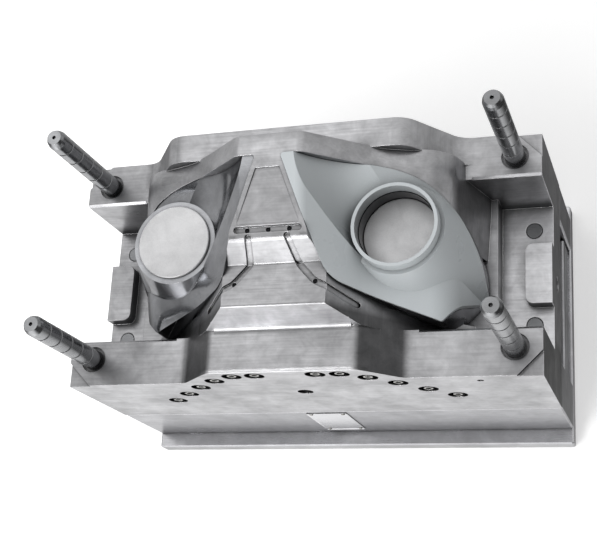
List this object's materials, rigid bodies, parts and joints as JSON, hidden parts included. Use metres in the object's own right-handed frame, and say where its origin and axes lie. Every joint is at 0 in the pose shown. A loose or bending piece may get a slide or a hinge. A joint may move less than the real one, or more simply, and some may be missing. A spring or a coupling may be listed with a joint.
{
  "type": "injection mould half",
  "caption": "Moving half of a two-cavity injection mould: sculpted cores with a moulded bezel on one, guide pins, water ports, ejector box and clamp plate.",
  "frame": {"origin": "middle of the clamp plate's underside", "axes": "+X along the length, -Y towards the face with the water ports, +Z the opening direction of the mould"},
  "size_m": [0.6, 0.34, 0.482],
  "materials": {
    "ground_steel": "ground",
    "milled_steel": "fine milled",
    "polished_steel": "polished",
    "etched_steel": "matt etched",
    "hardened_steel": "ground and hardened",
    "black_steel": "black oxide",
    "bronze": "machined",
    "brass": "machined",
    "grey_plastic": "moulded, unpainted"
  },
  "bodies": {
    "mould_base": {"centre_insert": "milled_steel", "clamp_plate": "ground_steel", "core_block": "milled_steel", "ejector_guide_pins": "hardened_steel", "front_rail": "ground_steel", "guide_pin_front_left": "hardened_steel", "guide_pin_front_right": "hardened_steel", "guide_pin_rear_left": "hardened_steel", "guide_pin_rear_right": "hardened_steel", "left_core_insert": "polished_steel", "left_lens_core": "etched_steel", "rail_screws": "black_steel", "rear_rail": "ground_steel", "right_core_insert": "polished_steel", "right_lens_core": "etched_steel", "stop_buttons": "ground_steel", "support_pillars": "ground_steel", "water_plugs": "brass"},
    "ejector_set": {"bare_core_ejector_pins": "hardened_steel", "bezel_moulding": "grey_plastic", "ejector_base_plate": "ground_steel", "ejector_guide_bushings": "bronze", "ejector_plate_screws": "black_steel", "ejector_retainer_plate": "ground_steel", "moulding_ejector_pins": "hardened_steel", "return_pins": "hardened_steel", "runner_ejector_pins": "hardened_steel"}
  },
  "joints": [
    {"name": "ejector_stroke", "type": "slide", "parent": "mould_base", "child": "ejector_set", "axis": [0, 0, 1], "range_m": [0, 0.055]}
  ]
}
